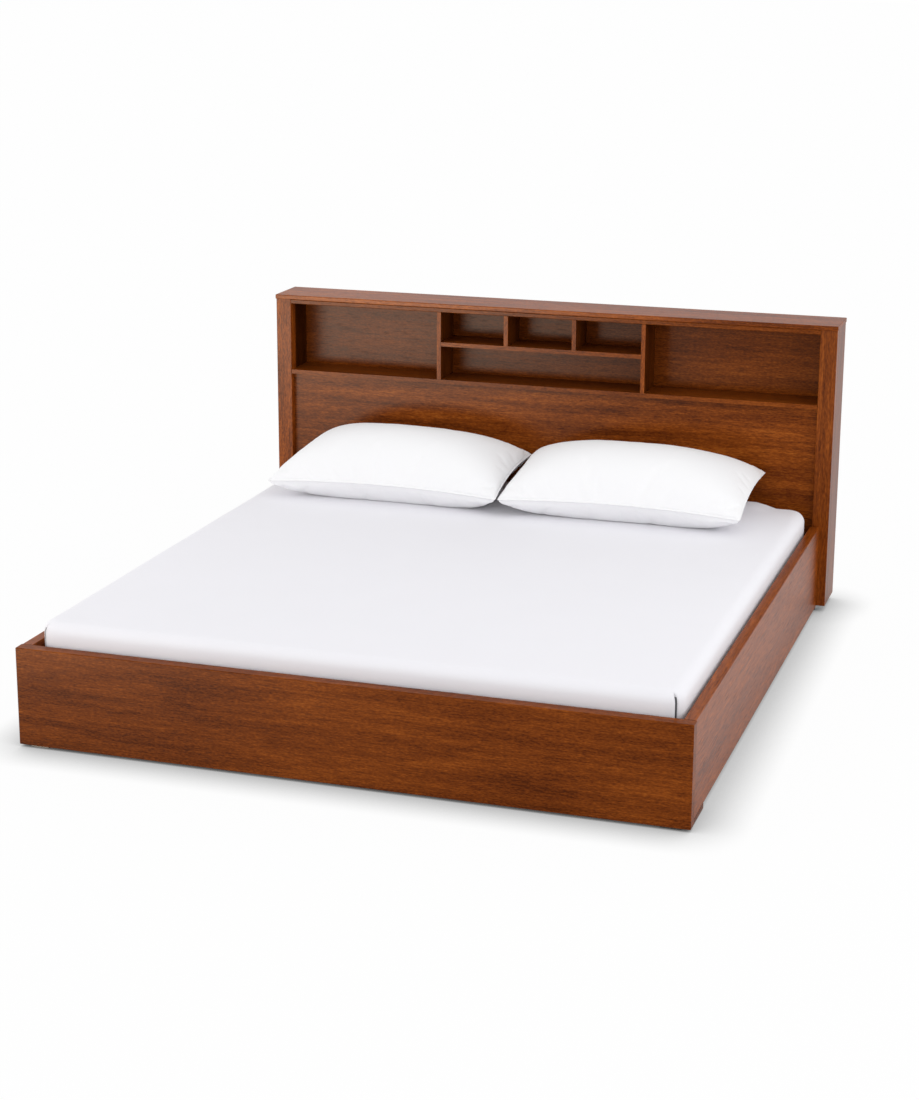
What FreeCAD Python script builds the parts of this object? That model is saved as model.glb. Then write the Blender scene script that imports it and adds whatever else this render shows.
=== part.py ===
# King-size bed with a bookcase headboard, in stained wood, with its mattress and two pillows.
# Millimetres. +X is to the right seen from the foot, +Y runs to the headboard, +Z is up.
# The origin is on the floor, under the middle of the whole bed.
import FreeCAD, Part
import os
import re
from math import cos, pi

import Sketcher
from FreeCAD import Placement, Rotation, Vector

doc = FreeCAD.newDocument("bookcase_headboard_bed")

# ---------------------------------------------------------------- driving sizes

SIZES = {
    # mattress, which sets the length and width of the bed
    "mattress_wide": 1920,
    "mattress_long": 2030,
    "mattress_thick": 205,
    "mattress_side_gap": 10,     # mattress to each side rail
    "mattress_front_gap": 10,
    "mattress_back_gap": 12,
    "mattress_corner": 60,
    "mattress_roll": 26,         # height of the rounded upper and lower edge
    "mattress_roll_in": 16,
    # base
    "footboard_thick": 40,
    "footboard_clear": 8,        # floor to the footboard's lower edge
    "base_top": 307,             # floor to the top of footboard and side rails
    "rail_thick": 34,
    "rail_inset": 3,             # side rails stand back from the footboard's ends
    "rail_clear": 18,            # floor to the side rails' lower edge
    "board_ease": 2,             # small chamfer on every edge that a hand meets
    # front corner feet and glides
    "foot_length": 138,
    "foot_clear": 4,
    "glide_setback": 4,
    "pad_length": 60,            # pads under the footboard's ends
    "pad_width": 22,
    "pad_setback": 14,           # behind the footboard's front face
    "pad_end_setback": 30,
    # slats and what carries them
    "slat_top": 168,
    "slat_thick": 18,
    "slat_width": 70,
    "slat_count": 13,
    "slat_end_room": 22,
    "slat_side_gap": 3,
    "ledger_thick": 28,
    "ledger_tall": 45,
    "ledger_end_room": 30,
    "beam_wide": 45,
    "beam_tall": 70,
    "beam_end_gap": 3,
    "hanger_sheet": 2,
    "hanger_reach": 42,
    "hanger_flange": 22,
    "leg_wide": 44,
    "leg_glide_tall": 6,
    "leg_glide_radius": 16,
    "screw_radius": 2,
    "screw_head_radius": 4,
    "screw_head_tall": 2.4,
    "screw_length": 38,
    "screw_inset": 14,
    # knock-down fasteners between side rails and ends
    "plate_wide": 16,
    "plate_tall": 130,
    "plate_sheet": 3,
    "plate_low": 130,            # floor to the plates' lower edge
    "hook_sheet": 3,
    "hook_reach": 8,
    "hook_tall": 22,
    "hook_drop": 6,
    "hook_low": 20,              # plate's lower edge to the lower hook's bearing
    "hook_pitch": 64,
    "hook_play": 0.5,
    "hook_root": 0.5,            # the hook's root runs this far into its plate
    # headboard columns and cap
    "headboard_top": 1020,
    "headboard_overhang": 27,    # columns stand this far out past the footboard's ends
    "post_lap": 6,               # posts' inner faces to the side rails' inner faces
    "column_clear": 22,
    "stile_thick": 45,
    "end_panel_thick": 18,
    "inner_panel_thick": 15,
    "rear_stile_thick": 38,
    "cap_thick": 16,
    "cap_side_lip": 2,
    "cap_front_lip": 4,
    "cap_back_lip": 4,
    "head_foot_radius": 11,
    "head_foot_setback": 6,      # feet stand back from the side rails' outer faces
    # bookcase
    "bookcase_depth": 150,
    "shelf_board": 15,           # thickness of shelves and dividers
    "top_rail_tall": 16,
    "top_rail_thick": 18,
    "centre_bay": 742,           # clear width between the tall dividers
    "bays_offset": 22,           # the middle bays lie this far left of the middle
    "wide_bay_tall": 123,        # clear height between the shelf and the cubby shelf
    "cubby_tall": 125,           # clear height between the cubby shelf and the cap
    "housing_deep": 5,
    "housing_stop": 12,          # housings end this far behind the front edges
    "back_panel_thick": 12,
    "back_recess": 22,           # back panel to the columns' rear faces
    "back_panel_skirt": 30,      # back panel laps below the shelf
    "groove_deep": 6,
    # panel below the shelf
    "panel_recess": 24,
    "panel_thick": 18,
    "cross_rail_low": 60,
    "cross_rail_top": 326,
    "cross_rail_thick": 25,
    "tongue_tall": 8,
    "tongue_thick": 6,
    "fit_gap": 0.2,              # play in grooves and housings
    # how the bedding lies
    "bedding_gap": 0.3,
    "pillow_wide": 840,
    "pillow_deep": 462,
    "pillow_seam_above": 90,     # mattress to the seam at the pillow's middle
    "pillow_crown": 132,         # seam to the top of the pillow
    "pillow_belly": 112,         # seam to the lowest point, before it is flattened
    "pillow_draw": 15,           # how far the sides pull in between the corners
    "pillow_swell_long": 0.05,   # bulge of the long sides, as a share of their half length
    "pillow_swell_short": 0.08,
    "pillow_tilt": 7.2,          # degrees, back edge up
    "pillow_back_gap": 8,
    "pillow_between": 10,
    "pillow_offset": 38,         # the pair lies this far left of the middle
}

sizes = doc.addObject("Spreadsheet::Sheet", "sizes")
for row, (alias, number) in enumerate(SIZES.items(), start=1):
    sizes.set(f"A{row}", alias)
    sizes.set(f"B{row}", str(number))
    sizes.setAlias(f"B{row}", alias)
doc.recompute()

# Lines that several pieces share, each worked out from the sizes or from earlier lines.
LINES = {
    "bay_length": "mattress_front_gap + mattress_long + mattress_back_gap",
    "column_depth": "bookcase_depth + back_panel_thick + back_recess",
    "foot_face": "-(footboard_thick + bay_length + column_depth + cap_back_lip) / 2",
    "bay_front": "foot_face + footboard_thick",
    "bay_back": "bay_front + bay_length",
    "bay_middle": "bay_front + bay_length / 2",
    "column_back": "bay_back + column_depth",
    "rail_inner": "mattress_wide / 2 + mattress_side_gap",
    "rail_outer": "rail_inner + rail_thick",
    "footboard_end": "rail_outer + rail_inset",
    "column_outer": "footboard_end + headboard_overhang",
    "column_inner": "rail_inner + post_lap",
    "stile_face": "column_outer - column_inner",
    "plate_middle": "(rail_outer + column_inner) / 2",
    "hook_bearing": "plate_low + hook_low",
    "slat_low": "slat_top - slat_thick",
    "slat_half": "rail_inner - slat_side_gap",
    "slat_first": "bay_front + slat_end_room",
    "slat_pitch": "(bay_length - 2 * slat_end_room - slat_width) / (slat_count - 1)",
    "beam_low": "slat_low - beam_tall",
    "cap_low": "headboard_top - cap_thick",
    "stile_back": "bay_back + stile_thick",
    "panel_face": "bay_back + panel_recess",
    "book_back": "bay_back + bookcase_depth",
    "cubby_floor": "cap_low - cubby_tall",
    "cubby_low": "cubby_floor - shelf_board",
    "shelf_top": "cubby_low - wide_bay_tall",
    "shelf_low": "shelf_top - shelf_board",
    "top_rail_low": "cap_low - top_rail_tall",
    "tall_inner": "centre_bay / 2",
    "cubby_wide": "(centre_bay - 2 * shelf_board) / 3",
    "cubby_inner": "cubby_wide / 2",
    "tongue_face": "panel_face + (panel_thick - tongue_thick) / 2",
    "mattress_low": "slat_top + bedding_gap",
    "mattress_top": "mattress_low + mattress_thick",
    "mattress_front": "bay_front + mattress_front_gap",
    "pillow_middle_y": "bay_back - pillow_back_gap - pillow_deep / 2",
}
KNOWN = re.compile(r"\b[a-z]+(?:_[a-z]+)+\b")


def formula(text):
    """The text with each size read from the sheet and each shared line opened up."""
    def open_up(found):
        word = found.group()
        return f"({formula(LINES[word])})" if word in LINES else f"sizes.{word}"
    return KNOWN.sub(open_up, str(text))


def number(text):
    return float(sizes.evalExpression(formula(text)))


def place(piece, at, turn=None):
    """Puts a piece at the formulas (x, y, z), after an optional fixed turn."""
    if turn:
        piece.Placement = Placement(Vector(), turn)
    for axis, text in zip("xyz", at):
        piece.setExpression(f"Placement.Base.{axis}", formula(text))
    return piece


# ---------------------------------------------------------------- ways of making a piece

kept = []                        # every finished sub-part, in order
BOX_EDGES = {"all": range(1, 13), "front": (9, 10), "long_y": (2, 4, 6, 8),
             "top": (2, 6, 10, 12), "upright": (1, 3, 5, 7)}


def keep(piece, label=None):
    if label:
        piece.Label = label
    kept.append(piece)
    return piece


def block(name, size, at):
    box = doc.addObject("Part::Box", name)
    for side, text in zip(("Length", "Width", "Height"), size):
        box.setExpression(side, formula(text))
    return place(box, at)


def eased(box, edges, name):
    """The box with its named edges chamfered by the ease of the boards."""
    ease = number("board_ease")
    piece = doc.addObject("Part::Chamfer", name)
    piece.Base = box
    piece.Edges = [(edge, ease, ease) for edge in BOX_EDGES[edges]]
    return piece


def board(label, size, at, edges=None, less=()):
    """A board as a sub-part: a box, eased, with the cutters in `less` taken out of it."""
    piece = block(f"{label}_blank", size, at)
    if edges:
        piece = eased(piece, edges, f"{label}_eased")
    for count, cutter in enumerate(less, start=1):
        rest = doc.addObject("Part::Cut", f"{label}_cut_{count}")
        rest.Base, rest.Tool = piece, cutter
        piece = rest
    return keep(piece, label)


def group(name, pieces):
    """Like pieces that stay separate solids under one name."""
    compound = doc.addObject("Part::Compound", name)
    compound.Links = pieces
    return compound


def mirrored(piece, name, normal, about=None):
    twin = doc.addObject("Part::Mirroring", name)
    twin.Source, twin.Normal = piece, normal
    if about:
        twin.setExpression("Base.y", formula(about))
    return twin


def at_four_corners(piece, name):
    """A piece at the front right corner of the bay, and its mirror images at the others."""
    left = mirrored(piece, f"{name}_left", Vector(1, 0, 0))
    front = group(f"{name}_front", [piece, left])
    rear = mirrored(front, f"{name}_rear", Vector(0, 1, 0), "bay_middle")
    return group(f"{name}_group", [front, rear])


def profile(name, corners, thickness, at, plane="XY_Plane"):
    """A body padded from a closed outline, whose corners are pairs of formulas."""
    body = doc.addObject("PartDesign::Body", name)
    sketch = body.newObject("Sketcher::SketchObject", f"{name}_outline")
    origin = next(o for o in body.Origin.OriginFeatures if o.Role == plane)
    sketch.AttachmentSupport = (origin, [""])
    sketch.MapMode = "FlatFace"
    points = [Vector(number(x), number(y), 0) for x, y in corners]
    for here, following in zip(points, points[1:] + points[:1]):
        sketch.addGeometry(Part.LineSegment(here, following), False)
    for line in range(len(points)):
        sketch.addConstraint(Sketcher.Constraint("Coincident", line, 2, (line + 1) % len(points), 1))
    for line, (corner, point) in enumerate(zip(corners, points)):
        for kind, text, held in zip(("DistanceX", "DistanceY"), corner, point):
            constraint = sketch.addConstraint(Sketcher.Constraint(kind, -1, 1, line, 1, held))
            sketch.renameConstraint(constraint, f"{kind}_{line}")
            sketch.setExpression(f"Constraints.{kind}_{line}", formula(text))
    pad = body.newObject("PartDesign::Pad", f"{name}_pad")
    pad.Profile = sketch
    pad.setExpression("Length", formula(thickness))
    place(body, at)
    return body


# ---------------------------------------------------------------- knock-down rail fasteners
# A hook plate on each rail end drops into a slot plate let into the footboard or the post.
# Each is built at the front right corner, where the meeting plane is bay_front, and mirrored.

plate_left = "plate_middle - plate_wide / 2"
hook_left = "plate_middle - hook_sheet / 2"


def hook_outline():
    """Side view of one hook, from the plate through the slot and down behind it."""
    back = "-(plate_sheet + hook_play)"
    tip = "-hook_reach"
    root = "hook_root"
    return ((root, "0"), (root, "hook_tall - hook_drop"), (tip, "hook_tall - hook_drop"),
            (tip, "-hook_drop"), (back, "-hook_drop"), (back, "0"))


plate = block("hook_plate_sheet", ("plate_wide", "plate_sheet", "plate_tall"),
              (plate_left, "bay_front", "plate_low"))
hooks = []
for count in range(2):
    hook = profile(f"hook_{count + 1}", hook_outline(), "hook_sheet",
                   (hook_left, "bay_front", f"hook_bearing + {count} * hook_pitch"), "YZ_Plane")
    hooks.append(hook)
hook_plate = doc.addObject("Part::MultiFuse", "hook_plate")
hook_plate.Shapes = [plate] + hooks
keep(at_four_corners(hook_plate, "hook_plates"), "rail_hook_plates")

slot_plate = block("slot_plate_sheet", ("plate_wide", "plate_sheet", "plate_tall"),
                   (plate_left, "bay_front - plate_sheet", "plate_low"))
for count in range(2):
    slot = block(f"slot_{count + 1}",
                 ("hook_sheet + 2 * hook_play", "3 * plate_sheet", "hook_tall + hook_play"),
                 (f"{hook_left} - hook_play", "bay_front - 2 * plate_sheet",
                  f"hook_bearing + {count} * hook_pitch"))
    rest = doc.addObject("Part::Cut", f"slot_plate_cut_{count + 1}")
    rest.Base, rest.Tool = slot_plate, slot
    slot_plate = rest
keep(at_four_corners(slot_plate, "slot_plates"), "rail_slot_plates")

hook_mortise = at_four_corners(
    block("hook_mortise", ("plate_wide + 2 * fit_gap", "plate_sheet + fit_gap + 1",
                           "plate_tall + 2 * fit_gap"),
          (f"{plate_left} - fit_gap", "bay_front - 1", "plate_low - fit_gap")), "hook_mortises")
slot_mortise = block("slot_mortise", ("plate_wide + 2 * fit_gap", "plate_sheet + fit_gap + 1",
                                      "plate_tall + 2 * fit_gap"),
                     (f"{plate_left} - fit_gap", "bay_front - plate_sheet - fit_gap",
                      "plate_low - fit_gap"))
hook_well = block("hook_well", ("hook_sheet + 4 * hook_play", "hook_reach + 2 * hook_play + 1",
                                "hook_pitch + hook_tall + hook_drop + 4 * hook_play"),
                  (f"{hook_left} - 2 * hook_play", "bay_front - hook_reach - 2 * hook_play",
                   "hook_bearing - hook_drop - 2 * hook_play"))
slot_recess = doc.addObject("Part::Fuse", "slot_recess")
slot_recess.Base, slot_recess.Tool = slot_mortise, hook_well
slot_recesses = at_four_corners(slot_recess, "slot_recesses")

# ---------------------------------------------------------------- footboard and side rails

board("footboard", ("2 * footboard_end", "footboard_thick", "base_top - footboard_clear"),
      ("-footboard_end", "foot_face", "footboard_clear"), "all", [slot_recesses])

for side, low_x in (("left", "-rail_outer"), ("right", "rail_inner")):
    board(f"{side}_side_rail", ("rail_thick", "bay_length", "base_top - rail_clear"),
          (low_x, "bay_front", "rail_clear"), "long_y", [hook_mortise])
    board(f"{side}_front_foot", ("rail_thick", "foot_length", "rail_clear - foot_clear"),
          (low_x, "bay_front", "foot_clear"), "upright")
    board(f"{side}_foot_glide", ("rail_thick - 2 * glide_setback",
                                 "foot_length - 2 * glide_setback", "foot_clear"),
          (f"{low_x} + glide_setback", "bay_front + glide_setback", 0))

pads = [eased(block(f"pad_{side}", ("pad_length", "pad_width", "footboard_clear"),
                    (low_x, "foot_face + pad_setback", 0)),
              "upright", f"pad_{side}_eased")
        for side, low_x in (("left", "pad_end_setback - footboard_end"),
                            ("right", "footboard_end - pad_end_setback - pad_length"))]
keep(group("footboard_pads_group", pads), "footboard_glides")

# ---------------------------------------------------------------- slats and what carries them

for side, low_x in (("left", "-rail_inner"), ("right", "rail_inner - ledger_thick")):
    board(f"{side}_ledger", ("ledger_thick", "bay_length - 2 * ledger_end_room", "ledger_tall"),
          (low_x, "bay_front + ledger_end_room", "slat_low - ledger_tall"), "long_y")

board("centre_beam", ("beam_wide", "panel_face - bay_front - 2 * (hanger_sheet + beam_end_gap)",
                      "beam_tall"),
      ("-beam_wide / 2", "bay_front + hanger_sheet + beam_end_gap", "beam_low"), "long_y")


def hanger_section():
    """Plan outline of the steel cradle that a beam end sits in: two cheeks with flanges."""
    inner, outer = "beam_wide / 2 + fit_gap", "beam_wide / 2 + fit_gap + hanger_sheet"
    edge = f"{outer} + hanger_flange"
    return ((f"-({edge})", "0"), (edge, "0"), (edge, "hanger_sheet"), (outer, "hanger_sheet"),
            (outer, "hanger_reach"), (inner, "hanger_reach"), (inner, "hanger_sheet"),
            (f"-({inner})", "hanger_sheet"), (f"-({inner})", "hanger_reach"),
            (f"-({outer})", "hanger_reach"), (f"-({outer})", "hanger_sheet"),
            (f"-({edge})", "hanger_sheet"))


def beam_hanger(end):
    cheeks = profile(f"{end}_hanger_cheeks", hanger_section(), "beam_tall",
                     (0, "bay_front", "beam_low"))
    seat = block(f"{end}_hanger_seat",
                 ("beam_wide + 2 * (fit_gap + hanger_sheet)", "hanger_reach", "hanger_sheet"),
                 ("-beam_wide / 2 - fit_gap - hanger_sheet", "bay_front", "beam_low - hanger_sheet"))
    hanger = doc.addObject("Part::Fuse", f"{end}_hanger")
    hanger.Base, hanger.Tool = cheeks, seat
    return hanger


keep(beam_hanger("front"), "front_beam_hanger")
keep(mirrored(beam_hanger("rear"), "rear_hanger_turned", Vector(0, 1, 0),
              "(bay_front + panel_face) / 2"), "rear_beam_hanger")

leg_glides = []
for count in range(1, 3):
    middle = f"bay_front + {count} * bay_length / 3"
    board(f"centre_leg_{count}", ("leg_wide", "leg_wide", "beam_low - leg_glide_tall"),
          ("-leg_wide / 2", f"{middle} - leg_wide / 2", "leg_glide_tall"), "upright")
    glide = doc.addObject("Part::Cylinder", f"leg_glide_{count}")
    glide.setExpression("Radius", formula("leg_glide_radius"))
    glide.setExpression("Height", formula("leg_glide_tall"))
    leg_glides.append(place(glide, (0, middle, 0)))
keep(group("leg_glides_group", leg_glides), "centre_leg_glides")


def screw(name, at):
    """A countersunk wood screw, its head level with the top of the slat."""
    shank = doc.addObject("Part::Cylinder", f"{name}_shank")
    shank.setExpression("Radius", formula("screw_radius"))
    shank.setExpression("Height", formula("screw_length - screw_head_tall"))
    head = doc.addObject("Part::Cone", f"{name}_head")
    head.setExpression("Radius1", formula("screw_radius"))
    head.setExpression("Radius2", formula("screw_head_radius"))
    head.setExpression("Height", formula("screw_head_tall"))
    place(shank, (at[0], at[1], "slat_top - screw_length"))
    place(head, (at[0], at[1], "slat_top - screw_head_tall"))
    whole = doc.addObject("Part::Fuse", name)
    whole.Base, whole.Tool = shank, head
    return whole


slat_count = int(number("slat_count"))
screw_x = "rail_inner - screw_inset"
screws = []
for count in range(slat_count):
    low_y = f"slat_first + {count} * slat_pitch"
    held = []
    if count in (0, slat_count - 1):
        held = [screw(f"slat_screw_{count}_{side}", (f"{sign}({screw_x})", f"{low_y} + slat_width / 2"))
                for side, sign in (("left", "-"), ("right", ""))]
    screws += held
    board(f"slat_{count + 1:02d}", ("2 * slat_half", "slat_width", "slat_thick"),
          ("-slat_half", low_y, "slat_low"), None, held)
for side in ("left", "right"):
    ledger = next(piece for piece in kept if piece.Label == f"{side}_ledger")
    kept.remove(ledger)
    drilled = doc.addObject("Part::Cut", f"{side}_ledger_drilled")
    drilled.Base, drilled.Tool = ledger, group(f"{side}_ledger_screws", screws)
    ledger.Label = f"{side}_ledger_plain"
    keep(drilled, f"{side}_ledger")
keep(group("slat_screws_group", screws), "slat_screws")

# ---------------------------------------------------------------- headboard columns
# Each end is a hollow column: a front stile, an outer and an inner panel, and a rear stile.

column_tall = "cap_low - column_clear"
panel_deep = "column_back - stile_back"
back_groove = block("back_panel_groove",
                    ("2 * (column_inner + groove_deep)", "back_panel_thick + 2 * fit_gap",
                     "cap_low + groove_deep - (shelf_low - back_panel_skirt - fit_gap)"),
                    ("-column_inner - groove_deep", "book_back - fit_gap",
                     "shelf_low - back_panel_skirt - fit_gap"))
shelf_housing = block("shelf_housing",
                      ("2 * (column_inner + housing_deep + fit_gap)", "bookcase_depth - stile_thick",
                       "shelf_board + 2 * fit_gap"),
                      ("-column_inner - housing_deep - fit_gap", "stile_back", "shelf_low - fit_gap"))
panel_groove = block("panel_end_groove",
                     ("2 * (column_inner + tongue_tall + fit_gap)", "tongue_thick + 2 * fit_gap",
                      "shelf_low - cross_rail_top"),
                     ("-column_inner - tongue_tall - fit_gap", "tongue_face - fit_gap",
                      "cross_rail_top"))
for side, sign in (("left", -1), ("right", 1)):
    low = {1: "{0}", -1: "-({0} + {1})"}[sign]
    board(f"{side}_post", ("stile_face", "stile_thick", column_tall),
          (low.format("column_inner", "stile_face"), "bay_back", "column_clear"),
          "upright", [slot_recesses, panel_groove])
    board(f"{side}_end_panel", ("end_panel_thick", panel_deep, column_tall),
          (low.format("column_outer - end_panel_thick", "end_panel_thick"), "stile_back",
           "column_clear"))
    board(f"{side}_inner_panel", ("inner_panel_thick", panel_deep, column_tall),
          (low.format("column_inner", "inner_panel_thick"), "stile_back", "column_clear"),
          None, [back_groove, shelf_housing])
    board(f"{side}_rear_stile",
          ("stile_face - end_panel_thick - inner_panel_thick", "rear_stile_thick", column_tall),
          (low.format("column_inner + inner_panel_thick",
                      "stile_face - end_panel_thick - inner_panel_thick"),
           "column_back - rear_stile_thick", "column_clear"))


def head_foot(name, x, y):
    """A plain round foot."""
    foot = doc.addObject("Part::Cylinder", name)
    foot.setExpression("Radius", formula("head_foot_radius"))
    foot.setExpression("Height", formula("column_clear"))
    return place(foot, (x, y, 0))


front_x = "rail_outer - head_foot_radius - head_foot_setback"
rear_x = "column_inner + (stile_face + inner_panel_thick - end_panel_thick) / 2"
feet = []
for side, sign in (("left", "-"), ("right", "")):
    feet.append(head_foot(f"{side}_front_head_foot", f"{sign}({front_x})",
                          "bay_back + stile_thick / 2"))
    feet.append(head_foot(f"{side}_rear_head_foot", f"{sign}({rear_x})",
                          "column_back - rear_stile_thick / 2"))
keep(group("head_feet_group", feet), "headboard_feet")

# ---------------------------------------------------------------- cap, top rail and bookcase


def divider_outline(foot, floor):
    """Side view of a divider: housed in the board below and the cap, notched for the top rail."""
    stop = "housing_stop"
    rail_notch = "top_rail_thick + fit_gap"
    head = f"cap_low + housing_deep - ({foot})"
    return ((stop, "0"), ("bookcase_depth", "0"), ("bookcase_depth", head),
            (f"{rail_notch} + housing_stop", head), (f"{rail_notch} + housing_stop", f"cap_low - ({foot})"),
            (rail_notch, f"cap_low - ({foot})"), (rail_notch, f"top_rail_low - ({foot})"),
            ("0", f"top_rail_low - ({foot})"), ("0", f"{floor} - ({foot})"), (stop, f"{floor} - ({foot})"))


def divider(label, low_x, floor):
    foot = f"{floor} - housing_deep"
    return profile(label, divider_outline(foot, floor), "shelf_board", (low_x, "bay_back", foot), "YZ_Plane")


def housing(name, low_x, low_z, front):
    """The stopped slot that a divider's end sits in, above and below low_z."""
    return block(name, ("shelf_board + 2 * fit_gap", f"bookcase_depth + fit_gap - ({front})",
                        "2 * (housing_deep + fit_gap)"),
                 (f"{low_x} - fit_gap", f"bay_back + {front} - fit_gap",
                  f"{low_z} - housing_deep - fit_gap"))


DIVIDERS = {"left_tall_divider": ("-(tall_inner + shelf_board) - bays_offset", "shelf_top"),
            "right_tall_divider": ("tall_inner - bays_offset", "shelf_top"),
            "left_cubby_divider": ("-(cubby_inner + shelf_board) - bays_offset", "cubby_floor"),
            "right_cubby_divider": ("cubby_inner - bays_offset", "cubby_floor")}
cap_slots = [back_groove]
floor_slots = {"shelf_top": [], "cubby_floor": []}
for label, (low_x, floor) in DIVIDERS.items():
    cap_slots.append(housing(f"{label}_cap_slot", low_x, "cap_low",
                             "top_rail_thick + fit_gap + housing_stop"))
    floor_slots[floor].append(housing(f"{label}_floor_slot", low_x, floor, "housing_stop"))

cubby_shelf_slot = block("cubby_shelf_slot",
                         ("centre_bay + 2 * (housing_deep + fit_gap)",
                          "bookcase_depth + fit_gap - housing_stop", "shelf_board + 2 * fit_gap"),
                         ("-tall_inner - bays_offset - housing_deep - fit_gap",
                          "bay_back + housing_stop - fit_gap", "cubby_low - fit_gap"))
for label, (low_x, floor) in DIVIDERS.items():
    piece = divider(label if "cubby" in label else f"{label}_body", low_x, floor)
    if "tall" in label:
        housed = doc.addObject("Part::Cut", f"{label}_housed")
        housed.Base, housed.Tool = piece, cubby_shelf_slot
        piece.Label = f"{label}_blank"
        piece = housed
    keep(piece, label)


def housed_shelf(label, middle, half, first, low_z, slots):
    """A shelf whose back part is longer by a housing at each end; `first` is where that starts."""
    reach = f"{half} + housing_deep"
    outline = ((f"-({half})", "0"), (half, "0"), (half, first), (reach, first),
               (reach, "bookcase_depth"), (f"-({reach})", "bookcase_depth"),
               (f"-({reach})", first), (f"-({half})", first))
    piece = profile(f"{label}_blank", outline, "shelf_board", (middle, "bay_back", low_z))
    for count, slot in enumerate(slots, start=1):
        rest = doc.addObject("Part::Cut", f"{label}_cut_{count}")
        rest.Base, rest.Tool = piece, slot
        piece = rest
    return keep(piece, label)


housed_shelf("bookcase_shelf", 0, "column_inner", "stile_thick", "shelf_low",
             floor_slots["shelf_top"])
housed_shelf("cubby_shelf", "-bays_offset", "tall_inner", "housing_stop", "cubby_low",
             floor_slots["cubby_floor"])

board("headboard_cap", ("2 * (column_outer + cap_side_lip)",
                        "column_depth + cap_front_lip + cap_back_lip", "cap_thick"),
      ("-column_outer - cap_side_lip", "bay_back - cap_front_lip", "cap_low"), "all", cap_slots)
board("top_rail", ("2 * column_inner", "top_rail_thick", "top_rail_tall"),
      ("-column_inner", "bay_back", "top_rail_low"), "front")
board("bookcase_back_panel",
      ("2 * (column_inner + groove_deep - fit_gap)", "back_panel_thick",
       "cap_low + groove_deep - fit_gap - shelf_low + back_panel_skirt"),
      ("-column_inner - groove_deep + fit_gap", "book_back", "shelf_low - back_panel_skirt"))

# ---------------------------------------------------------------- panel below the shelf

board("cross_rail", ("2 * column_inner", "cross_rail_thick", "cross_rail_top - cross_rail_low"),
      ("-column_inner", "panel_face", "cross_rail_low"), "front",
      [block("cross_rail_groove", ("2 * column_inner", "tongue_thick + 2 * fit_gap",
                                   "2 * (tongue_tall + fit_gap)"),
             ("-column_inner", "tongue_face - fit_gap", "cross_rail_top - tongue_tall - fit_gap"))])

panel_core = eased(block("headboard_panel_blank",
                         ("2 * column_inner", "panel_thick", "shelf_low - cross_rail_top"),
                         ("-column_inner", "panel_face", "cross_rail_top")),
                   "front", "headboard_panel_eased")
panel_tongue = block("headboard_panel_tongue",
                     ("2 * (column_inner + tongue_tall)", "tongue_thick",
                      "shelf_low - cross_rail_top"),
                     ("-column_inner - tongue_tall", "tongue_face", "cross_rail_top"))
panel_foot = block("headboard_panel_foot",
                   ("2 * column_inner", "tongue_thick", "2 * tongue_tall"),
                   ("-column_inner", "tongue_face", "cross_rail_top - tongue_tall"))
panel = doc.addObject("Part::MultiFuse", "headboard_panel_body")
panel.Shapes = [panel_core, panel_tongue, panel_foot]
keep(panel, "headboard_panel")

# ---------------------------------------------------------------- mattress and pillows


def rounded_ring(half_x, half_y, corner, height):
    """A level rectangle with round corners."""
    arcs = []
    turn = corner * (1 - cos(pi / 4))
    for sx, sy in ((1, -1), (1, 1), (-1, 1), (-1, -1)):
        ends = [Vector(sx * half_x, sy * (half_y - corner), height),
                Vector(sx * (half_x - corner), sy * half_y, height)]
        if sx != sy:
            ends.reverse()
        middle = Vector(sx * (half_x - turn), sy * (half_y - turn), height)
        arcs.append(Part.Arc(ends[0], middle, ends[1]))
    edges = []
    for arc, following in zip(arcs, arcs[1:] + arcs[:1]):
        straight = Part.LineSegment(arc.EndPoint, following.StartPoint)
        edges += [arc.toShape(), straight.toShape()]
    return Part.Wire(edges)


# The rolled edge: height as a share of the roll's height, and how far in as a share of its depth.
ROLL = ((0, 1), (0.3, 0.3), (1, 0))


def mattress_shape():
    """A mattress in its fitted sheet, with rolled upper and lower edges."""
    half_x, half_y = number("mattress_wide / 2"), number("mattress_long / 2")
    thick, corner = number("mattress_thick"), number("mattress_corner")
    lower = [(rise * number("mattress_roll"), cut * number("mattress_roll_in"))
             for rise, cut in ROLL]
    upper = [(thick - height, cut) for height, cut in reversed(lower)]
    rings = [rounded_ring(half_x - cut, half_y - cut, corner - cut, height)
             for height, cut in lower + upper]
    return Part.makeLoft(rings, True, True)


def soft(label, shape, at):
    piece = doc.addObject("Part::Feature", f"{label}_form")
    piece.Shape = shape
    place(piece, at)
    return keep(piece, label)


soft("mattress", mattress_shape(),
     (0, "mattress_front + mattress_long / 2", "mattress_low"))


def pillow_ring(half_x, half_y, height, bow_x, bow_y):
    """A level outline of four arcs; a positive bow swells a side and a negative one draws it in."""
    corners = [Vector(sx * half_x, sy * half_y, height)
               for sx, sy in ((-1, -1), (1, -1), (1, 1), (-1, 1))]
    middles = [Vector(0, -half_y - bow_y, height), Vector(half_x + bow_x, 0, height),
               Vector(0, half_y + bow_y, height), Vector(-half_x - bow_x, 0, height)]
    arcs = [Part.Arc(corners[here], middles[here], corners[(here + 1) % 4]).toShape()
            for here in range(4)]
    return Part.Wire(arcs)


# Corners as shares of the half width and half depth, and height as a share of the crown
# (above the seam) or of the belly (below it), from the underside up.
PILLOW_RINGS = ((0.75, 0.66, -0.90), (1.00, 1.00, 0.00), (0.90, 0.84, 0.58),
                (0.66, 0.56, 0.92), (0.34, 0.24, 1.00))


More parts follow.
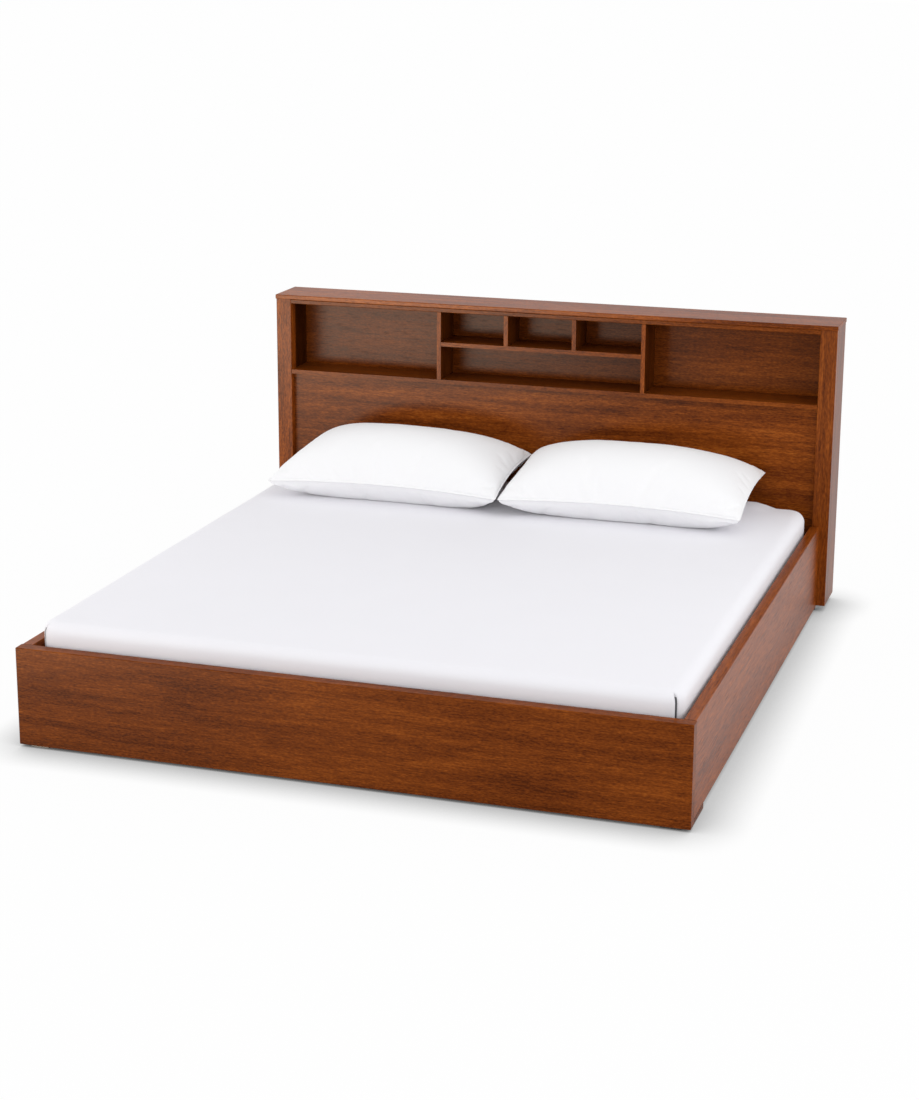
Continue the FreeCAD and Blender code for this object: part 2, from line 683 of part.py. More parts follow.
def pillow_shape():
    """A plump pillow with drawn-in sides, tipped back and flat where it lies."""
    half_x, half_y = number("pillow_wide / 2"), number("pillow_deep / 2")
    crown, belly, draw = number("pillow_crown"), number("pillow_belly"), number("pillow_draw")
    swell_long, swell_short = number("pillow_swell_long"), number("pillow_swell_short")
    rings = []
    for share_x, share_y, level in PILLOW_RINGS:
        ring_x, ring_y = share_x * half_x, share_y * half_y
        height = level * (crown if level > 0 else belly)
        bow_x = swell_short * ring_y if level else -draw
        bow_y = swell_long * ring_x if level else -draw
        rings.append(pillow_ring(ring_x, ring_y, height, bow_x, bow_y))
    shape = Part.makeLoft(rings, True, True)
    shape.rotate(Vector(), Vector(1, 0, 0), number("pillow_tilt"))
    lowest = -number("pillow_seam_above - bedding_gap")
    below = Part.makeBox(4 * half_x, 4 * half_y, 2 * belly,
                         Vector(-2 * half_x, -2 * half_y, lowest - 2 * belly))
    return shape.cut(below)


for side, sign in (("left", "-"), ("right", "")):
    soft(f"{side}_pillow", pillow_shape(),
         (f"{sign}(pillow_wide + pillow_between) / 2 - pillow_offset",
          "pillow_middle_y", "mattress_top + pillow_seam_above"))

# ---------------------------------------------------------------- checks and files

doc.recompute()
faults = [f"{thing.Label}: {thing.State}" for thing in doc.Objects
          if {"Invalid", "Error"} & set(thing.State)]
faults += [f"{piece.Label}: no sound solid" for piece in kept
           if piece.Shape.isNull() or not piece.Shape.isValid() or not piece.Shape.Solids]
labels = [piece.Label for piece in kept]
faults += [f"{label}: name used twice" for label in set(labels) if labels.count(label) > 1]
if faults:
    raise SystemExit("\n".join(faults))

os.makedirs("parts", exist_ok=True)
for piece in kept:
    piece.Shape.exportStep(f"parts/{piece.Label}.step")
print(f"{len(kept)} sub-parts, {sum(len(piece.Shape.Solids) for piece in kept)} solids")
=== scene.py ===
from math import pi, radians, sin

import bmesh
import bpy
from mathutils import Matrix, Vector, noise


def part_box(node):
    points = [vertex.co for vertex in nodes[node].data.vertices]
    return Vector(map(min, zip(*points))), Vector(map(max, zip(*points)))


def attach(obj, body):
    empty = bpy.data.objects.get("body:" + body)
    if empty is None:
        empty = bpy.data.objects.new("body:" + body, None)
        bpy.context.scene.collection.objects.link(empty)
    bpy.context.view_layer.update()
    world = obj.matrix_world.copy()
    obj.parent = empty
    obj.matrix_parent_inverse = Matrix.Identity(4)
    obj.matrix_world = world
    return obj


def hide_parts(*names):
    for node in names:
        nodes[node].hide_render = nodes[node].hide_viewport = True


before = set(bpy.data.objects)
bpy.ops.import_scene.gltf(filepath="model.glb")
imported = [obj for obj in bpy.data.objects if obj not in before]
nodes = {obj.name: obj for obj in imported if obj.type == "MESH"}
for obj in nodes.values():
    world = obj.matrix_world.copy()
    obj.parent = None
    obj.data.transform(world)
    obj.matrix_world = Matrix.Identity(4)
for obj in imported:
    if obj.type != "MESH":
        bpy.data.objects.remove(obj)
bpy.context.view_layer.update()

# ------------------------------------------------------------ the room
# A pale floor under an even pale surround. Most of the floor's brightness is there for the camera
# and the wood's polish only. That brightness fades near the bed and is gone under it, so that the
# bed itself is lit plainly by the lamps, and ambient occlusion darkens it close round the bed: the
# bed's soft shadow there is painted shadow, with only a little real shadow in it.


class Value:
    """A shader socket on which Python's operators add Math nodes."""

    def __init__(self, shader, socket):
        self.shader, self.socket = shader, socket

    def maths(self, operation, *terms):
        return self.shader.node("ShaderNodeMath", {"operation": operation},
                                dict(enumerate(terms)))

    def __add__(self, other):
        return self.maths("ADD", self, other)

    def __sub__(self, other):
        return self.maths("SUBTRACT", self, other)

    def __rsub__(self, other):
        return self.maths("SUBTRACT", other, self)

    def __mul__(self, other):
        return self.maths("MULTIPLY", self, other)

    def __pow__(self, other):
        return self.maths("POWER", self, other)

    __radd__, __rmul__ = __add__, __mul__

    def between(self, low, high):
        """0 below low, 1 above high and a smooth rise between them."""
        settings = {"interpolation_type": "SMOOTHSTEP"}
        return self.shader.node("ShaderNodeMapRange", settings,
                                {"Value": self, "From Min": low, "From Max": high})


class Shader:
    """The nodes of a material or of the world."""

    def __init__(self, owner):
        owner.use_nodes = True
        self.tree = owner.node_tree
        self.tree.nodes.clear()

    def node(self, kind, settings=None, inputs=None, output=0):
        """Adds a node with its settings and the values or links of its sockets.

        The colours of a colour ramp are given as the setting `stops`.
        """
        node = self.tree.nodes.new(kind)
        for name, setting in (settings or {}).items():
            if name == "stops":
                ramp = node.color_ramp.elements
                while len(ramp) < len(setting):
                    ramp.new(1)
                for stop, (position, colour) in zip(ramp, setting):
                    stop.position, stop.color = position, (*colour, 1)
            else:
                setattr(node, name, setting)
        for name, given in (inputs or {}).items():
            if isinstance(given, Value):
                self.tree.links.new(given.socket, node.inputs[name])
            else:
                node.inputs[name].default_value = given
        return Value(self, node.outputs[output])

    def mix(self, share, first, second, blend="MIX"):
        """A mix of two colours, each a colour or a Value."""
        inputs = {0: share}
        for place, colour in ((6, first), (7, second)):
            inputs[place] = colour if isinstance(colour, Value) else (*colour, 1)
        return self.node("ShaderNodeMix", {"data_type": "RGBA", "blend_type": blend}, inputs, 2)

    def seen(self):
        """1 for the camera and for reflections, 0 for all other light."""
        return (self.node("ShaderNodeLightPath", output="Is Camera Ray")
                + self.node("ShaderNodeLightPath", output="Is Glossy Ray"))

    def finish(self, surface, kind="ShaderNodeOutputMaterial"):
        """Links the last shader to the output."""
        output = self.tree.nodes.new(kind)
        self.tree.links.new(surface.socket, output.inputs["Surface"])


def surround_light():
    """White to the camera and to reflections, and a little weaker as a lamp."""
    world = bpy.data.worlds.new("pale_surround")
    bpy.context.scene.world = world
    shader = Shader(world)
    strength = 0.97 + 0.03 * shader.seen()
    shader.finish(shader.node("ShaderNodeBackground", None,
                              {"Color": (1, 1, 1, 1), "Strength": strength}),
                  "ShaderNodeOutputWorld")


def pale_floor():
    """Plain pale grey under the bed, and nearly white to the camera all round it, with a painted
    shadow from ambient occlusion close to the bed.
    """
    fade_beside, fade_beyond = (0.97, 1.0), (1.10, 1.13)      # metres from the bed's middle
    mesh = bmesh.new()
    bmesh.ops.create_grid(mesh, x_segments=1, y_segments=1, size=60)
    floor = new_piece("floor", mesh)
    material = bpy.data.materials.new("pale_floor")
    shader = Shader(material)
    lit = shader.node("ShaderNodeBsdfDiffuse", None, {"Color": (0.80, 0.80, 0.80, 1)})
    # Ambient occlusion darkens the floor's brightness near the bed: a painted contact shadow.
    painted_contact_shadow = shader.node("ShaderNodeAmbientOcclusion", {"samples": 16}, {"Distance": 0.16}, "AO")
    bright = shader.node("ShaderNodeEmission", None, {"Color": painted_contact_shadow, "Strength": 1})
    seen = shader.seen()
    place = shader.node("ShaderNodeTexCoord", output="Object")
    across, along = (shader.node("ShaderNodeSeparateXYZ", None, {"Vector": place}, way)
                     for way in "XY")
    beside = across.maths("ABSOLUTE", across).between(*fade_beside)
    beyond = along.maths("ABSOLUTE", along).between(*fade_beyond)
    clear_of_bed = beside.maths("MAXIMUM", beside, beyond)
    shader.finish(shader.node("ShaderNodeMixShader", None, {
        0: 0.96 * seen * clear_of_bed, 1: lit, 2: bright}))
    floor.data.materials.append(material)


def new_piece(name, mesh):
    """Makes an object at the origin out of a bmesh."""
    data = bpy.data.meshes.new(name)
    mesh.to_mesh(data)
    mesh.free()
    piece = bpy.data.objects.new(name, data)
    bpy.context.scene.collection.objects.link(piece)
    return piece


def softbox(name, place, target, size, watts):
    """A square lamp at `place` that faces `target`."""
    lamp = bpy.data.lights.new(name, "AREA")
    lamp.shape, lamp.size, lamp.size_y, lamp.energy = "RECTANGLE", *size, watts
    holder = bpy.data.objects.new(name, lamp)
    towards = Vector(target) - Vector(place)
    holder.matrix_world = (Matrix.Translation(place)
                           @ towards.to_track_quat("-Z", "Y").to_matrix().to_4x4())
    bpy.context.scene.collection.objects.link(holder)
    return holder


surround_light()
pale_floor()
softbox("front_lamp", (-3.4, -4.6, 3.0), (-0.4, 0, 0.5), (2.6, 2.2), 7)
softbox("left_lamp", (-4.3, -3.4, 0.9), (-0.6, 0.8, 0.6), (1.6, 1.4), 19)
softbox("right_lamp", (4.6, -1.0, 2.2), (0.9, -0.2, 0.4), (3.0, 3.0), 32)
gloss_card = softbox("gloss_card", (-2.1, -2.6, 0.3), (-0.3, 1, 0.8), (2.6, 0.6), 310)
gloss_card.data.color = (1, 0.81, 0.64)
gloss_card.visible_diffuse = gloss_card.visible_camera = False

# ------------------------------------------------------------ the camera
# It stands off the right front corner, a little above head height, and looks down along the
# bed to the headboard. Its numbers come from a fit to the edges and corners that show in the
# photograph.

FRAME_TALL = 1100                    # pixels, as is everything on the next two lines
focal_pixels = 2239.2
frame_middle, sight_point = (459.5, 550), (430, 515)
stand = (2.119, -6.641, 2.371)       # metres
turned, tipped, rolled = radians(18.58), radians(90 - 14.98), radians(0.08)

camera_data = bpy.data.cameras.new("camera")
camera = bpy.data.objects.new("camera", camera_data)
camera_data.sensor_fit = "VERTICAL"
camera_data.lens = focal_pixels / FRAME_TALL * camera_data.sensor_height
camera_data.shift_x = (frame_middle[0] - sight_point[0]) / FRAME_TALL
camera_data.shift_y = (sight_point[1] - frame_middle[1]) / FRAME_TALL
camera_data.clip_end = 200
camera.matrix_world = (Matrix.Translation(stand) @ Matrix.Rotation(turned, 4, "Z")
                       @ Matrix.Rotation(tipped, 4, "X") @ Matrix.Rotation(rolled, 4, "Z"))
bpy.context.scene.collection.objects.link(camera)
bpy.context.scene.camera = camera
bpy.context.scene.view_settings.view_transform = "Standard"

# ------------------------------------------------------------ footboard
# One wide board across the foot in reddish brown stained wood under a satin varnish. The
# grain runs along it, with broad soft streaks and short dark pores, and the same finish is
# on all the wood that shows.

GRAIN_TURN = {"X": (0, 0, 0), "Y": (0, 0, radians(-90)), "Z": (0, radians(90), 0)}


def stained_wood(name, grain, number, tone=1.0, bold=1.0, long=1.0, lip=1.0, sheen=1.13):
    """Varnished wood whose grain runs along an axis; each board's number gives its own figure.

    A bold board has more contrast in its figure, a long one has longer streaks, and one with
    an edge highlight has its front edge painted paler by that factor, a painted highlight. The
    sheen is the varnish's refractive index.
    """
    material = bpy.data.materials.new(name)
    shader = Shader(material)
    place = shader.node("ShaderNodeTexCoord", output="Object")
    along = shader.node("ShaderNodeMapping", None, {
        "Vector": place, "Rotation": GRAIN_TURN[grain],
        "Location": (2.7 * number, 1.31 * number, 0.77 * number)})

    def fibres(stretch, across, detail, rough, bend=0.0):
        """Noise drawn out along the grain: `across` features a metre, `stretch` times longer."""
        drawn = shader.node("ShaderNodeVectorMath", {"operation": "MULTIPLY"},
                            {0: along, 1: (across / stretch / long, across, across)})
        return shader.node("ShaderNodeTexNoise", None, {
            "Vector": drawn, "Scale": 1, "Detail": detail, "Roughness": rough,
            "Distortion": bend})

    drift = fibres(4, 5, 1, 0.5, 0.4)
    figure = fibres(15, 30, 2, 0.55, 0.6)
    streaks = fibres(14, 85, 2, 0.6, 0.3)
    lines = fibres(10, 230, 2, 0.65)
    flecks = fibres(3.5, 330, 1, 0.5)
    ticks = fibres(9, 260, 1, 0.5)
    # Both sums are centred on 0, as every noise has its middle at 0.5.
    broad = (0.24 * drift + 0.34 * figure - 0.29) * bold
    fine = 0.19 * streaks + 0.35 * lines + 0.37 * flecks - 0.455
    shades = ((0.36, 0.074, 0.0145, 0.0016), (0.46, 0.137, 0.0290, 0.0032),
              (0.54, 0.184, 0.0415, 0.0046), (0.63, 0.250, 0.0600, 0.0068),
              (0.73, 0.320, 0.0860, 0.0110))
    colour = shader.node("ShaderNodeValToRGB", {"stops": [
        (position, [part * tone for part in shade]) for position, *shade in shades]},
        {"Fac": 0.5 + broad + fine})
    tick = 1 - ticks.between(0.30, 0.40)
    colour = shader.mix(0.45 * tick, colour, (0.060, 0.0110, 0.0014))
    # Painted highlight: the board's front edge is painted paler, in place of the light that
    # catches it.
    if lip > 1:
        deep = shader.node("ShaderNodeSeparateXYZ", None, {"Vector": place}, "Y")
        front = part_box(name.removesuffix("_wood"))[0].y
        edge = 1 - deep.between(front + 0.0006, front + 0.0012)
        colour = shader.mix(edge, colour, shader.mix(1, colour, (lip, lip, lip), "MULTIPLY"))
    relief = shader.node("ShaderNodeBump", None, {
        "Strength": 0.07, "Distance": 0.0003, "Height": lines})
    shader.finish(shader.node("ShaderNodeBsdfPrincipled", None, {
        "Base Color": colour, "Roughness": 0.29 + 0.05 * streaks + 0.05 * tick,
        "IOR": sheen, "Normal": relief}))
    return material


def recoat(name, material):
    """Gives a piece of the frame one material."""
    materials = nodes[name].data.materials
    materials.clear()
    materials.append(material)


def finish_board(name, grain, number, **finish):
    """Gives a board of the frame its own cut of the stained wood."""
    recoat(name, stained_wood(f"{name}_wood", grain, number, **finish))


finish_board("footboard", "X", 1, tone=1.04)

# ------------------------------------------------------------ side rails
# Long boards that hook on between the footboard and the headboard's posts, with eased edges.
# Their grain runs from foot to head.

# The rails' wood is coloured paler than the footboard's: painted light on their outer sides.
finish_board("left_side_rail", "Y", 2, tone=1.35, bold=0.6, long=3, sheen=1.17)
finish_board("right_side_rail", "Y", 3, tone=1.35, bold=0.6, long=3, sheen=1.17)
finish_board("left_front_foot", "Y", 4, tone=0.8)
finish_board("right_front_foot", "Y", 5, tone=0.8)

# ------------------------------------------------------------ slats and ledgers
# Planed softwood, left bare: thirteen slats on two ledgers, and under their middle a beam on
# two short legs.


def bare_softwood(name, grain, number):
    """Pale planed softwood with darker growth lines."""
    material = bpy.data.materials.new(name)
    shader = Shader(material)
    place = shader.node("ShaderNodeTexCoord", output="Object")
    along = shader.node("ShaderNodeMapping", None, {
        "Vector": place, "Rotation": GRAIN_TURN[grain],
        "Location": (1.9 * number, 0.83 * number, 0.41 * number), "Scale": (1.4, 26, 26)})
    rings = shader.node("ShaderNodeTexNoise", None, {
        "Vector": along, "Scale": 1, "Detail": 2, "Roughness": 0.5, "Distortion": 0.5})
    line = shader.node("ShaderNodeMath", {"operation": "PINGPONG"}, {0: rings * 9, 1: 1})
    fine = shader.node("ShaderNodeTexNoise", None, {
        "Vector": along, "Scale": 14, "Detail": 2, "Roughness": 0.6})
    colour = shader.mix(line ** 2.2 * 0.8, (0.62, 0.43, 0.23), (0.42, 0.24, 0.10))
    colour = shader.mix(fine.between(0.45, 0.75) * 0.35, colour, (0.50, 0.33, 0.17))
    relief = shader.node("ShaderNodeBump", None, {
        "Strength": 0.3, "Distance": 0.0004, "Height": fine})
    shader.finish(shader.node("ShaderNodeBsdfPrincipled", None, {
        "Base Color": colour, "Roughness": 0.62, "IOR": 1.4, "Normal": relief}))
    return material


slats = sorted(name for name in nodes if name.startswith("slat_") and name[-2:].isdigit())
for grain, first, names in (("X", 1, slats),
                            ("Y", 21, ("left_ledger", "right_ledger", "centre_beam")),
                            ("Z", 31, ("centre_leg_1", "centre_leg_2"))):
    for number, name in enumerate(names, start=first):
        recoat(name, bare_softwood(f"{name}_softwood", grain, number))

# ------------------------------------------------------------ hangers, hooks and screws
# Pressed from zinc plated sheet steel: two cradles for the middle beam, the hook and slot
# plates that join rails to ends, and the countersunk screws in the end slats.


def zinc_steel():
    """Zinc plated steel with faint spangles."""
    material = bpy.data.materials.new("zinc_steel")
    shader = Shader(material)
    place = shader.node("ShaderNodeTexCoord", output="Object")
    spangle = shader.node("ShaderNodeTexVoronoi", None, {
        "Vector": place, "Scale": 160}, "Color")
    shade = shader.node("ShaderNodeSeparateColor", None, {"Color": spangle})
    haze = shader.node("ShaderNodeTexNoise", None, {"Vector": place, "Scale": 30, "Detail": 3})
    colour = shader.mix(shade * 0.6, (0.56, 0.57, 0.59), (0.72, 0.73, 0.74))
    shader.finish(shader.node("ShaderNodeBsdfPrincipled", None, {
        "Base Color": colour, "Metallic": 1.0, "Roughness": 0.28 + 0.2 * haze}))
    return material


zinc = zinc_steel()
for name in ("front_beam_hanger", "rear_beam_hanger", "rail_hook_plates", "rail_slot_plates",
             "slat_screws"):
    recoat(name, zinc)

# ------------------------------------------------------------ glides and feet
# Moulded black plastic pads under the footboard's ends, the corner feet and the middle legs,
# and the round feet of the headboard.


def moulded_plastic():
    """Black plastic with a fine moulded grain and some scuffs."""
    material = bpy.data.materials.new("moulded_plastic")
    shader = Shader(material)
    place = shader.node("ShaderNodeTexCoord", output="Object")
    grain = shader.node("ShaderNodeTexNoise", None, {
        "Vector": place, "Scale": 900, "Detail": 2, "Roughness": 0.6})
    scuff = shader.node("ShaderNodeTexNoise", None, {"Vector": place, "Scale": 40, "Detail": 3})
    relief = shader.node("ShaderNodeBump", None, {
        "Strength": 0.3, "Distance": 0.0002, "Height": grain})
    colour = shader.mix(scuff.between(0.4, 0.8), (0.012, 0.012, 0.013), (0.028, 0.028, 0.03))
    shader.finish(shader.node("ShaderNodeBsdfPrincipled", None, {
        "Base Color": colour, "Roughness": 0.5 + 0.15 * scuff, "Normal": relief}))
    return material


plastic = moulded_plastic()
for name in ("footboard_glides", "left_foot_glide", "right_foot_glide", "centre_leg_glides",
             "headboard_feet"):
    recoat(name, plastic)

# ------------------------------------------------------------ headboard columns
# A post in front, a panel on the outside and on the inside and a narrow stile behind make
# each hollow end of the headboard. Their grain stands upright.

# The left post's wood is coloured paler than the right post's: painted light, for the light from
# the left that falls on it.
finish_board("left_post", "Z", 41, tone=1.6)
for number, name in enumerate(("right_post", "left_end_panel", "right_end_panel",
                               "left_rear_stile", "right_rear_stile"), start=42):
    finish_board(name, "Z", number, tone=1.1, long=1.5, sheen=1.17)
# The inner panels, walls of the end bays, are coloured far darker than the same wood elsewhere:
# painted shade of the bays.
finish_board("left_inner_panel", "Z", 47, tone=0.30)
finish_board("right_inner_panel", "Z", 48, tone=0.30)

# ------------------------------------------------------------ cap and bookcase
# The cap lies on the columns and the top rail. Below it the shelves' grain runs across and
# that of the dividers stands upright. A thin panel closes the back.

finish_board("headboard_cap", "X", 51, tone=1.4, bold=1.1, sheen=1.15)
finish_board("top_rail", "X", 152, bold=0.6)
# The shelves and dividers inside the bays are coloured darker than the same wood outside them:
# painted shade of the bays. Their front edges are painted paler again, a painted highlight.
finish_board("bookcase_shelf", "X", 53, tone=0.9, lip=1.2)
finish_board("cubby_shelf", "X", 54, tone=0.8, lip=1.6)
finish_board("bookcase_back_panel", "X", 55, tone=1.05)
for number, name in enumerate(("left_tall_divider", "right_tall_divider",
                               "left_cubby_divider", "right_cubby_divider"), start=56):
    finish_board(name, "Z", number, tone=0.6, lip=2.4)

# ------------------------------------------------------------ panel and cross rail
# A wide panel below the bookcase, set back between the posts, on a cross rail of the same
# wood.

finish_board("headboard_panel", "X", 61, tone=1.1, bold=1.4)
finish_board("cross_rail", "X", 62)

# ------------------------------------------------------------ mattress
# A sprung mattress in a white fitted sheet, pulled smooth over rolled edges and folded into
# a pleat at each corner.


def woven_cotton(name, tint):
    """Fine plain-weave cotton: a thread pattern too fine to see from the bed's foot."""
    material = bpy.data.materials.new(name)
    shader = Shader(material)
    place = shader.node("ShaderNodeTexCoord", output="Object")
    threads = [shader.node("ShaderNodeTexWave", {"bands_direction": way}, {
        "Vector": place, "Scale": 420, "Distortion": 0.6, "Detail": 1, "Detail Scale": 0.4})
        for way in ("X", "Y")]
    cloudy = shader.node("ShaderNodeTexNoise", None, {"Vector": place, "Scale": 6, "Detail": 2})
    weave = threads[0] * threads[1]
    colour = shader.mix(cloudy * 0.5, tint, [0.965 * part for part in tint])
    colour = shader.mix(weave * 0.10, colour, [0.90 * part for part in tint])
    relief = shader.node("ShaderNodeBump", None, {
        "Strength": 0.12, "Distance": 0.0003, "Height": weave})
    shader.finish(shader.node("ShaderNodeBsdfPrincipled", None, {
        "Base Color": colour, "Roughness": 0.9, "IOR": 1.35, "Normal": relief,
        "Sheen Weight": 0.15, "Sheen Roughness": 0.5}))
    return material


def block_mesh(low, high):
    """A box between two corners."""
    mesh = bmesh.new()
    bmesh.ops.create_cube(mesh, size=1)
    bmesh.ops.scale(mesh, vec=high - low, verts=mesh.verts)
    bmesh.ops.translate(mesh, vec=(low + high) / 2, verts=mesh.verts)
    return mesh


def slice_evenly(mesh, axis, low, high, spacing):
    """Cuts the mesh across an axis at even steps."""
    count = round((high - low) / spacing)
    normal = [float(here == axis) for here in range(3)]
    for step in range(1, count):
        point = [part * (low + (high - low) * step / count) for part in normal]
        bmesh.ops.bisect_plane(mesh, geom=mesh.verts[:] + mesh.edges[:] + mesh.faces[:],
                               plane_co=point, plane_no=normal)


def share_of(distance, whole):
    """How much of the whole a distance is, between 0 and 1."""
    return min(max(distance / whole, 0), 1)


def pleat_corners(mesh, low, high, radius):
    """Tucks the sheet into one upright fold in the middle of each rounded corner.

    The faces deep in the open fold get the second material, a dark grey that paints the shade
    inside the fold.
    """
    slit, lips, depth = 0.0034, 0.014, 0.058      # the first two are half widths
    for side in (-1, 1):
        for end in (-1, 1):
            outward = Vector((side, end, 0)).normalized()
            along = Vector((-end, side, 0)).normalized()
            centre = Vector((high.x - radius if side > 0 else low.x + radius,
                             high.y - radius if end > 0 else low.y + radius, 0))
            for offset in (-lips, -slit, 0, slit, lips):
                near = [face for face in mesh.faces
                        if (face.calc_center_median() - centre).xy.length < 1.7 * radius]
                bmesh.ops.bisect_plane(
                    mesh, geom=list({part for face in near
                                     for part in (*face.verts, *face.edges, face)}),
                    plane_co=centre + offset * along, plane_no=along)
            for vert in mesh.verts:
                place = vert.co - centre
                if place.dot(outward) > 0.6 * radius and abs(place.dot(along)) < 0.0005:
                    share = share_of(high.z - 0.012 - vert.co.z, 0.02)
                    vert.co -= depth * share * outward
                    # Painted shade: the faces deep in the fold take the dark grey second material.
                    for face in vert.link_faces if share > 0.5 else ():
                        face.material_index = 1


def swell_edges(mesh, high):
    """Gives the top its slow rise and fall, and the roll of cloth along the head end."""
    skin, wave, roll_tall = 0.05, 0.0015, 0.018
    for vert in mesh.verts:
        if vert.co.z > high.z - skin:
            share = (vert.co.z - high.z + skin) / skin
            roll = (share_of(vert.co.y - high.y + 0.09, 0.05)
                    * share_of(high.x - 0.10 - abs(vert.co.x), 0.07))
            vert.co.z += share * (wave * noise.noise(vert.co * 3.5)
                                  + roll_tall * roll * roll * (3 - 2 * roll))


def sort_faces(mesh):
    """Orders the faces by their corners, since bevels and cuts leave an order that varies."""
    mesh.verts.index_update()
    by_corners = sorted(mesh.faces, key=lambda face: sorted(vert.index for vert in face.verts))
    ranks = {face: rank for rank, face in enumerate(by_corners)}
    mesh.faces.sort(key=ranks.get)


def shade_smooth(piece):
    piece.data.polygons.foreach_set("use_smooth", [True] * len(piece.data.polygons))


CORNER, RIM, MESH_STEP = 0.060, 0.036, 0.035
low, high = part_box("mattress")
mesh = block_mesh(low, high)
upright = [edge for edge in mesh.edges if abs(edge.verts[0].co.z - edge.verts[1].co.z) > 0.1]
bmesh.ops.bevel(mesh, geom=upright, offset=CORNER, segments=8, profile=0.5, affect="EDGES",
                material=-1)
rims = [edge for edge in mesh.edges
        if any(len({way * face.normal.z > 0.5 for face in edge.link_faces}) == 2
               for way in (1, -1))]
bmesh.ops.bevel(mesh, geom=rims, offset=RIM, segments=7, profile=0.5, affect="EDGES",
                material=-1)
for axis in range(3):
    slice_evenly(mesh, axis, low[axis], high[axis], MESH_STEP)
pleat_corners(mesh, low, high, CORNER)
swell_edges(mesh, high)
sort_faces(mesh)
mattress = new_piece("mattress_in_sheet", mesh)
mattress.data.materials.append(woven_cotton("sheet_cotton", (0.86, 0.853, 0.893)))
# The second material is dark grey cloth: painted shade inside the corner folds.
mattress.data.materials.append(woven_cotton("painted_fold_shade", (0.20, 0.20, 0.215)))
shade_smooth(mattress)
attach(mattress, "mattress_body")
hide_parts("mattress")

# ------------------------------------------------------------ pillows
# Two plump pillows in plain white cotton, each sewn from two layers round the edge. The
# filling crowns both layers, draws the sides in a little and creases the cloth towards the
# corners.

SEAM_HEIGHT = 0.105                  # above the mattress, at the pillow's middle
CROWN, BELLY = 0.128, 0.140          # above and below the seam
SEAM_DEEP = 0.462                    # from the front of the seam to its back
DRAWN_IN = 0.007                     # how far each side of the seam curves in
ON_SEAM = 0.0005                     # a point this close to the seam's height is on it


def crowned_cover(wide, deep, crown, belly):
    """Two crowned layers joined round a seam that curves in between the corners.

    The lower one swells out steeply under the seam, and the upper one slopes up from it.
    """
    mesh = bmesh.new()
    for height, wide_curve, wide_slope, deep_slope in ((crown, 3.2, 0.88, 0.88),
                                                       (-belly, 2.5, 0.72, 0.58)):
        layer = bmesh.ops.create_grid(mesh, x_segments=92, y_segments=52, size=1)["verts"]
        for vert in layer:
            across, along = (0.3 * part + 0.7 * sin(part * pi / 2) for part in vert.co.xy)
            sides = max(1 - abs(across) ** wide_curve, 1e-6) ** wide_slope
            ends = max(1 - abs(along) ** 2.1, 1e-6) ** deep_slope
            vert.co = (across * (wide / 2 - DRAWN_IN * (1 - along ** 2)),
                       along * (deep / 2 - DRAWN_IN * (1 - across ** 2)),
                       height * (sides ** -2 + ends ** -2 - 1) ** -0.5)
        if height < 0:
            bmesh.ops.reverse_faces(mesh, faces=list({face for vert in layer
                                                      for face in vert.link_faces}))
    bmesh.ops.remove_doubles(mesh, verts=mesh.verts, dist=0.0004)
    return mesh


def swell(piece, frames, slack, most):
    """Blows the cover up a little, held at its seam, with some cloth to spare for creases.

    No point moves further than `most`, or than a third of its height off the seam.
    """
    seam = piece.vertex_groups.new(name="seam")
    seam.add([vert.index for vert in piece.data.vertices if abs(vert.co.z) < ON_SEAM], 1, "ADD")
    start = [vert.co.copy() for vert in piece.data.vertices]
    cloth = piece.modifiers.new("cloth", "CLOTH")
    cloth.point_cache.frame_end = frames
    settings = cloth.settings
    settings.quality = 6
    settings.vertex_group_mass = "seam"
    settings.shrink_min = -slack
    settings.bending_stiffness = 0.2
    settings.use_pressure = True
    settings.uniform_pressure_force = 4
    settings.effector_weights.gravity = 0
    for moment in range(1, frames + 1):
        bpy.context.scene.frame_set(moment)
    ready = piece.evaluated_get(bpy.context.evaluated_depsgraph_get())
    blown = bpy.data.meshes.new_from_object(ready)
    piece.modifiers.clear()
    piece.vertex_groups.clear()
    piece.data = blown
    bpy.context.scene.frame_set(1)
    for vert, before in zip(blown.vertices, start):
        moved = vert.co - before
        limit = min(most, abs(before.z) / 3)
        if moved.length > limit:
            vert.co = before + moved.normalized() * limit


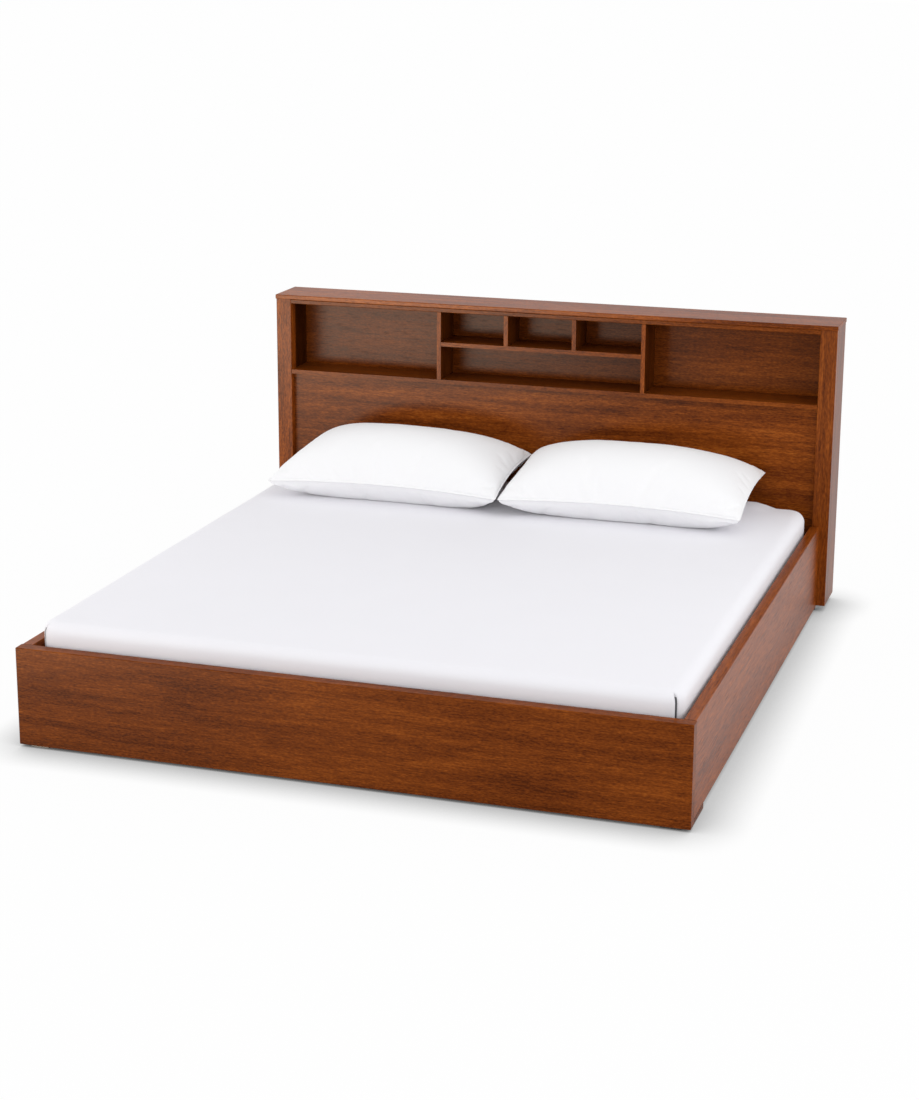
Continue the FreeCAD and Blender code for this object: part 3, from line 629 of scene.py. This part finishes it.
def sew_seam(piece):
    """Draws the joined edge out into a narrow ridge and puckers the cloth along its stitches."""
    ridge_out, stitch_in, pucker = 0.0065, 0.0035, 0.002
    mesh = bmesh.new()
    mesh.from_mesh(piece.data)
    seam = [edge for edge in mesh.edges if all(abs(vert.co.z) < ON_SEAM for vert in edge.verts)]
    ridge = set(bmesh.ops.bevel(mesh, geom=seam, offset=0.0024, segments=2, profile=0.5,
                                affect="EDGES", material=-1)["faces"])
    mesh.normal_update()
    for vert in {vert for face in ridge for vert in face.verts}:
        outward = Vector((vert.normal.x, vert.normal.y, 0)).normalized()
        if ridge.issuperset(vert.link_faces):
            vert.co += ridge_out * outward
        else:
            vert.co -= (stitch_in + pucker * noise.noise(vert.co * 55)) * outward
    mesh.to_mesh(piece.data)
    mesh.free()


def settle(piece, node, tilt, rest_z, tucked):
    """Droops the corners, tips the pillow back in its place and lets its underside lie flat.

    The rear left corner is pushed up and in by `tucked`.
    """
    droop, off_mattress = 0.016, 0.0006
    low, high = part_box(node)
    turn = Matrix.Rotation(tilt, 3, "X")
    for vert in piece.data.vertices:
        across, along = 2 * vert.co.x / (high.x - low.x), 2 * vert.co.y / SEAM_DEEP
        corner = max(0.5 - across / 2, 0) ** 2 * max(0.5 + along / 2, 0)
        vert.co += Vector((tucked, 0, 0.1 * tucked)) * corner
        vert.co.z -= droop * (across * along) ** 2
    middle = Vector(((low.x + high.x) / 2, (low.y + high.y) / 2, rest_z + SEAM_HEIGHT))
    for vert in piece.data.vertices:
        place = turn @ vert.co + middle
        vert.co = (place.x, place.y, max(place.z, rest_z + off_mattress))


cotton = woven_cotton("pillow_cotton", (0.93, 0.93, 0.943))
rest_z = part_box("mattress")[1].z
for number, (side, tucked) in enumerate((("left", 0.072), ("right", 0.0)), start=1):
    low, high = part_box(f"{side}_pillow")
    cover = crowned_cover(high.x - low.x, SEAM_DEEP, 0.96 * CROWN, 0.96 * BELLY)
    for vert in cover.verts:
        vert.co.z *= 1 + 0.05 * noise.noise(vert.co * 5 + Vector((number * 7.3, 0, 0)))
    pillow = new_piece(f"{side}_pillow_in_cover", cover)
    swell(pillow, 20, 0.015, 0.010)
    sew_seam(pillow)
    settle(pillow, f"{side}_pillow", radians(7.2), rest_z, tucked)
    pillow.data.materials.append(cotton)
    shade_smooth(pillow)
    rounding = pillow.modifiers.new("rounding", "SUBSURF")
    rounding.levels = rounding.render_levels = 1
    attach(pillow, f"{side}_pillow_body")
    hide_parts(f"{side}_pillow")
